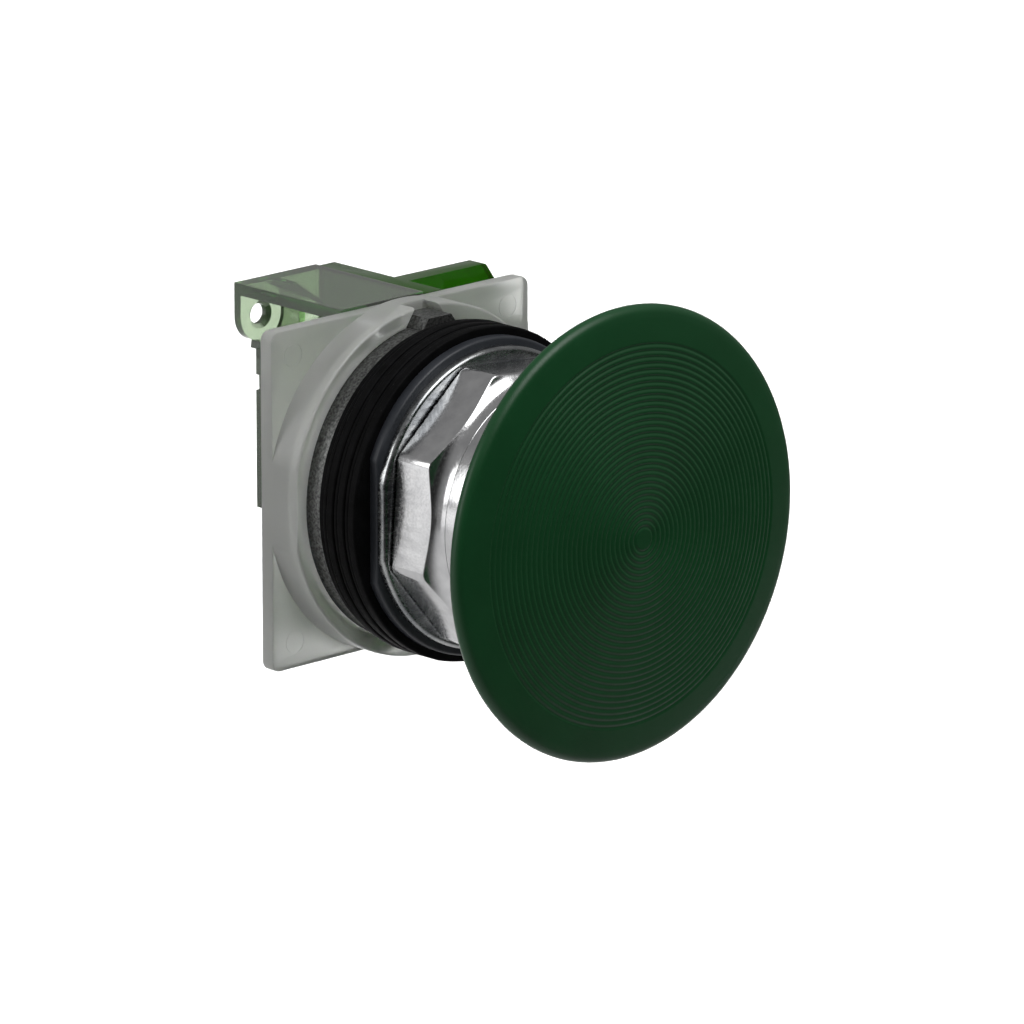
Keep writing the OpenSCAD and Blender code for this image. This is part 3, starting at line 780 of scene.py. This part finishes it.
gaps = [prism(disc(STACK_HOLE_R, STACK_HOLE), block_back - 1, block_back + COVER_WALL + 1),
        countersink, prism(disc(SCREW_HEAD_R + 0.3, LOWER_HOLE), body_back - 1, front_wall),
        slab((BODY_LEFT - 1, BODY_LEFT + 0.5), (8.6, 10.6), (body_back - 1, body_back + 0.6))]
fit("block_cover_moulded", carve(shell, gaps, edge=0.2), clear, "root", ["block_cover"])

# ---- Screws ----
# Two zinc-plated socket-head screws pull the block and the adapter plate onto the flange. The
# two terminal screws are slotted, and each draws a serrated square plate onto its wire.
SCREW_PITCH = 0.5
SCREW_THREAD = 0.28
SCREW_HEAD_H = 2.2
SOCKET_R = 1.15


def screw(head_r, seat, tip, at, slot):
    """A threaded screw with a flat head behind its seat, and a slot or socket cut into the head."""
    head_back = seat - SCREW_HEAD_H

    def outline(angle):
        head = [(0, head_back), (head_r - 0.3, head_back), (head_r, head_back + 0.3),
                (head_r, seat), (SCREW_R - 0.05, seat)]
        return head + thread(SCREW_R, SCREW_THREAD, SCREW_PITCH, seat + 0.3, tip - 0.4, angle) + [
            (SCREW_R - 0.5, tip), (0, tip)]
    return moved(carve([spin(outline, 48)], [slot]), at)


socket = prism(disc(SOCKET_R, steps=6), front_wall - 3.4, front_wall - 1)
driver_slot = slab((-3, 3), (-0.4, 0.4), (wing_inner - 3, wing_inner - 1.2))
screws_tip = span("block_screws")[2]
block_screws = [screw(SCREW_HEAD_R, front_wall, screws_tip, at, socket.copy())
                for at in (STACK_HOLE, LOWER_HOLE)]
terminal_screws = [screw(TERMINAL_HEAD_R, wing_inner, block_front - 1.2, at, driver_slot.copy())
                   for at in TERMINALS]
fit("block_screws_plated", gather(*block_screws), steel, "root", ["block_screws"])
fit("terminal_screws_plated", gather(*terminal_screws), steel, "root", ["terminal_screws"])
CLAMP_HALF_W = 3.2
SERRATIONS = (-2.6, -2.1, 2.1, 2.6)
clamp_back, clamp_front = span("clamp_plates")[1:]
clamps = [moved(carve([slab((-CLAMP_HALF_W, CLAMP_HALF_W), (-3, 3), (clamp_back, clamp_front))],
                      [prism(disc(SCREW_R, steps=24), clamp_back - 1, clamp_front + 1),
                       *[slab((x - 0.15, x + 0.15), (-4, 4), (clamp_back - 1, clamp_back + 0.2))
                         for x in SERRATIONS]], edge=0.1), at) for at in TERMINALS]
fit("clamp_plates_stamped", gather(*clamps), steel, "root", ["clamp_plates"])

# ---- Fixed contacts ----
# Two brass strips, stamped and bent, run from the terminals through the side wall. A silver tip
# is riveted to the inner end of each.
strip_low, strip_high = (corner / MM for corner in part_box("upper_fixed_contact"))
strip_back = -strip_high.y
TIP_R = 1.7
TIP_UP = 10.5


def strip(sign):
    """The upper strip, or the lower one where sign is negative."""
    up = (strip_low.z, strip_high.z) if sign > 0 else (-strip_high.z, -strip_low.z)
    bars = [slab((strip_low.x, COVER_RIGHT - 0.02), up, (strip_back, strip_back + STRIP_T)),
            slab((COVER_RIGHT - STRIP_T, COVER_RIGHT - 0.02), up,
                 (strip_back + 0.1, wing_inner + STRIP_T - 0.1)),
            slab((COVER_RIGHT - STRIP_T, strip_high.x), up, (wing_inner, wing_inner + STRIP_T))]
    hole = prism(disc(SCREW_R + 0.2, (TERMINAL[0], sign * TERMINAL[1]), 24), wing_inner - 1,
                 wing_inner + 2)
    return carve(bars, [hole], edge=0.12)


def tip(back, front, at, domed_front):
    """A contact tip with its chamfered face towards the front or the back."""
    inner, outer = (back, front) if domed_front else (front, back)
    step = 0.3 * (outer - inner)
    return moved(spin([(0, inner), (TIP_R, inner), (TIP_R, outer - step), (TIP_R - 0.3, outer),
                       (0, outer)], 48), at)


for side, sign in (("upper", 1), ("lower", -1)):
    fit(f"{side}_fixed_contact_bent", strip(sign), brass, "root", [f"{side}_fixed_contact"])
silver = surface("contact_silver", (0.60, 0.60, 0.58), (0.76, 0.76, 0.74), rough=(0.3, 0.5),
                 patch=0.8, grain=0.1, relief=0.004, metal=1.0)
tips_back, tips_front = span("fixed_contact_tips")[1:]
fit("fixed_contact_tips_riveted",
    gather(*[tip(tips_back, tips_front, (0, up), True) for up in (TIP_UP, -TIP_UP)]), silver,
    "root", ["fixed_contact_tips"])

# ---- Moving contacts ----
# The carrier is a moulded plunger with a window. A copper bridge lies in the window, pressed
# back by its own spring, and closes across the two fixed tips when the button is pushed.
carrier_back, carrier_front = span("contact_carrier")[1:]
bridge_low, bridge_high = (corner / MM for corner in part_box("contact_bridge"))
bridge_back, bridge_front = -bridge_high.y, -bridge_low.y
CARRIER_BORE_R = 2.3
CARRIER_BORE_FRONT = -8
copper = surface("copper_alloy", (0.48, 0.21, 0.10), (0.62, 0.32, 0.17), rough=(0.22, 0.4),
                 patch=1.6, grain=0.2, relief=0.006, metal=1.0)
carrier = carve(
    [spin(rounded([(0, carrier_back + 3, 0), (PLUNGER_R, carrier_back + 3, 0),
                   (PLUNGER_R, carrier_front, 0.4), (0, carrier_front, 0)]), 96),
     slab((-4, 4), (-4.5, 4.5), (carrier_back, carrier_back + 4.6))],
    [slab((-2.4, 2.4), (-6, 6), (bridge_back, bridge_front + 0.8)),
     prism(disc(CARRIER_BORE_R), bridge_back, CARRIER_BORE_FRONT)], edge=0.15)
fit("contact_carrier_moulded", carrier, ivory, "carrier", ["contact_carrier"])
bridge_half = bridge_high.z
bridge_shape = rounded([(-2.2, 5, 1), (-2.2, -5, 1), (-1.9, -bridge_half, 0.8),
                        (1.9, -bridge_half, 0.8), (2.2, -5, 1), (2.2, 5, 1),
                        (1.9, bridge_half, 0.8), (-1.9, bridge_half, 0.8)])
fit("contact_bridge_stamped", carve([prism(bridge_shape, bridge_back, bridge_front)], edge=0.12),
    copper, "carrier", ["contact_bridge"])
bridge_tips_back, bridge_tips_front = span("bridge_tips")[1:]
fit("bridge_tips_riveted",
    gather(*[tip(bridge_tips_back, bridge_tips_front, (0, up), False) for up in (TIP_UP, -TIP_UP)]),
    silver, "carrier", ["bridge_tips"])

# ---- Block springs ----
# A small spring in the carrier's bore gives the contact force. A wider one behind the carrier
# brings it back and shortens by the whole travel.
BRIDGE_COIL_R, BRIDGE_WIRE_R = 1.8, 0.25
REAR_COIL_R, REAR_WIRE_R = 2.7, 0.28
contact_spring = coil(BRIDGE_COIL_R, BRIDGE_WIRE_R, *span("bridge_spring")[1:], turns=5,
                      per_turn=24, sides=8)
fit("bridge_spring_wound", contact_spring, drawn, "carrier", ["bridge_spring"])
rear_back, rear_front = span("carrier_spring")[1:]
rear_coil = coil(REAR_COIL_R, REAR_WIRE_R, rear_back, rear_front, turns=6, per_turn=28, sides=8)
rear_spring = fit("carrier_spring_wound", rear_coil, drawn, "root", ["carrier_spring"])
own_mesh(rear_spring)

# ---- Floor and light ----
# A plain studio: a floor well below the button, pale under and behind it and painted darker
# towards the front as painted shade, standing in for the dark front of the studio that the chrome
# and the head mirror. A large soft box hangs overhead, two stand at the back left for the chrome to
# mirror, and one lights the floor behind the button.
FLOOR_DROP = 0.27
FLOOR_HALF = 6
FLOOR_FADE = (-0.45, 0.0)
FLOOR_FRONT_SHADE = 0.07
BEHIND_DISTANCE = 1.35
BEHIND_RISE = 0.2
ROOM_GLOW, ROOM_DARK = 0.26, 0.02
ROOM_DARK_TOWARDS = (-0.25, -0.95, -0.15)
floor_up = cad_box[0].z - FLOOR_DROP
floor_mesh = bpy.data.meshes.new("floor")
floor_mesh.from_pydata([(x, y, floor_up) for x, y in ((-FLOOR_HALF, -FLOOR_HALF),
                        (FLOOR_HALF, -FLOOR_HALF), (FLOOR_HALF, FLOOR_HALF),
                        (-FLOOR_HALF, FLOOR_HALF))], [], [(0, 1, 2, 3)])
floor = bpy.data.objects.new("floor", floor_mesh)
paint = surface("floor_paint", (0.86, 0.86, 0.86), (0.88, 0.88, 0.88), rough=(0.6, 0.7), patch=300,
                grain=20, relief=0.05)
floor_mesh.materials.append(paint)
tones, wires = paint.node_tree.nodes, paint.node_tree.links
# Painted shade: the floor's base colour is scaled down towards the front.
ground = tones.new("ShaderNodeSeparateXYZ")
wires.new(tones["Texture Coordinate"].outputs["Object"], ground.inputs["Vector"])
darker = tones.new("ShaderNodeMapRange")
darker.interpolation_type = "SMOOTHSTEP"
darker.inputs["From Min"].default_value = FLOOR_FADE[0]
darker.inputs["From Max"].default_value = FLOOR_FADE[1]
darker.inputs["To Min"].default_value = FLOOR_FRONT_SHADE
darker.inputs["To Max"].default_value = 1.0
wires.new(ground.outputs["Y"], darker.inputs["Value"])
shaded = tones.new("ShaderNodeVectorMath")
shaded.operation = "SCALE"
wires.new(tones["Color Ramp"].outputs["Color"], shaded.inputs["Vector"])
wires.new(darker.outputs["Result"], shaded.inputs["Scale"])
wires.new(shaded.outputs["Vector"], tones["Principled BSDF"].inputs["Base Color"])
scene.collection.objects.link(floor)


def lamp(name, away, distance, width, height, radiance):
    """A soft box that shines on the button from a direction. Radiance is its brightness before
    its spread is narrowed, which makes it brighter head-on."""
    made = bpy.data.objects.new(name, bpy.data.lights.new(name, "AREA"))
    made.data.shape = "RECTANGLE"
    made.data.size = width
    made.data.size_y = height
    made.data.energy = 4 * width * height * radiance
    away = Vector(away).normalized()
    made.location = EYE_AIM + away * distance
    made.rotation_euler = away.to_track_quat("Z", "Y").to_euler()
    scene.collection.objects.link(made)
    return made


overhead = lamp("overhead", (0.05, -0.43, 0.9), distance=1.4, width=1.15, height=1.15, radiance=1.1)
overhead.data.spread = math.radians(100)
lamp("back_left", (-0.80, 0.50, 0.33), distance=1.5, width=0.7, height=0.6, radiance=2.3)
lamp("back_left_low", (-0.80, 0.57, -0.06), distance=1.5, width=0.9, height=0.35, radiance=0.7)
floor_lamp = lamp("behind", (0, 0, 1), distance=0.2, width=1.0, height=1.8, radiance=1.15)
floor_lamp.location = (EYE_AIM - Vector((towards_eye.x, towards_eye.y, 0)) * BEHIND_DISTANCE
                       + Vector((0, 0, BEHIND_RISE)))
floor_lamp.rotation_euler = (0, 0, EYE_AZIMUTH)
floor_lamp.data.spread = math.radians(60)
world = bpy.data.worlds.new("studio")
world.use_nodes = True
scene.world = world
sky, wires = world.node_tree.nodes, world.node_tree.links
facing = sky.new("ShaderNodeVectorMath")
facing.operation = "DOT_PRODUCT"
wires.new(sky.new("ShaderNodeTexCoord").outputs["Generated"], facing.inputs[0])
facing.inputs[1].default_value = ROOM_DARK_TOWARDS
fade = sky.new("ShaderNodeMapRange")
fade.interpolation_type = "SMOOTHSTEP"
fade.inputs["From Min"].default_value = 0.15
fade.inputs["From Max"].default_value = 0.75
fade.inputs["To Min"].default_value = ROOM_GLOW
fade.inputs["To Max"].default_value = ROOM_DARK
wires.new(facing.outputs["Value"], fade.inputs["Value"])
wires.new(fade.outputs["Result"], sky["Background"].inputs["Strength"])
sky["Background"].inputs["Color"].default_value = (1, 1, 1, 1)
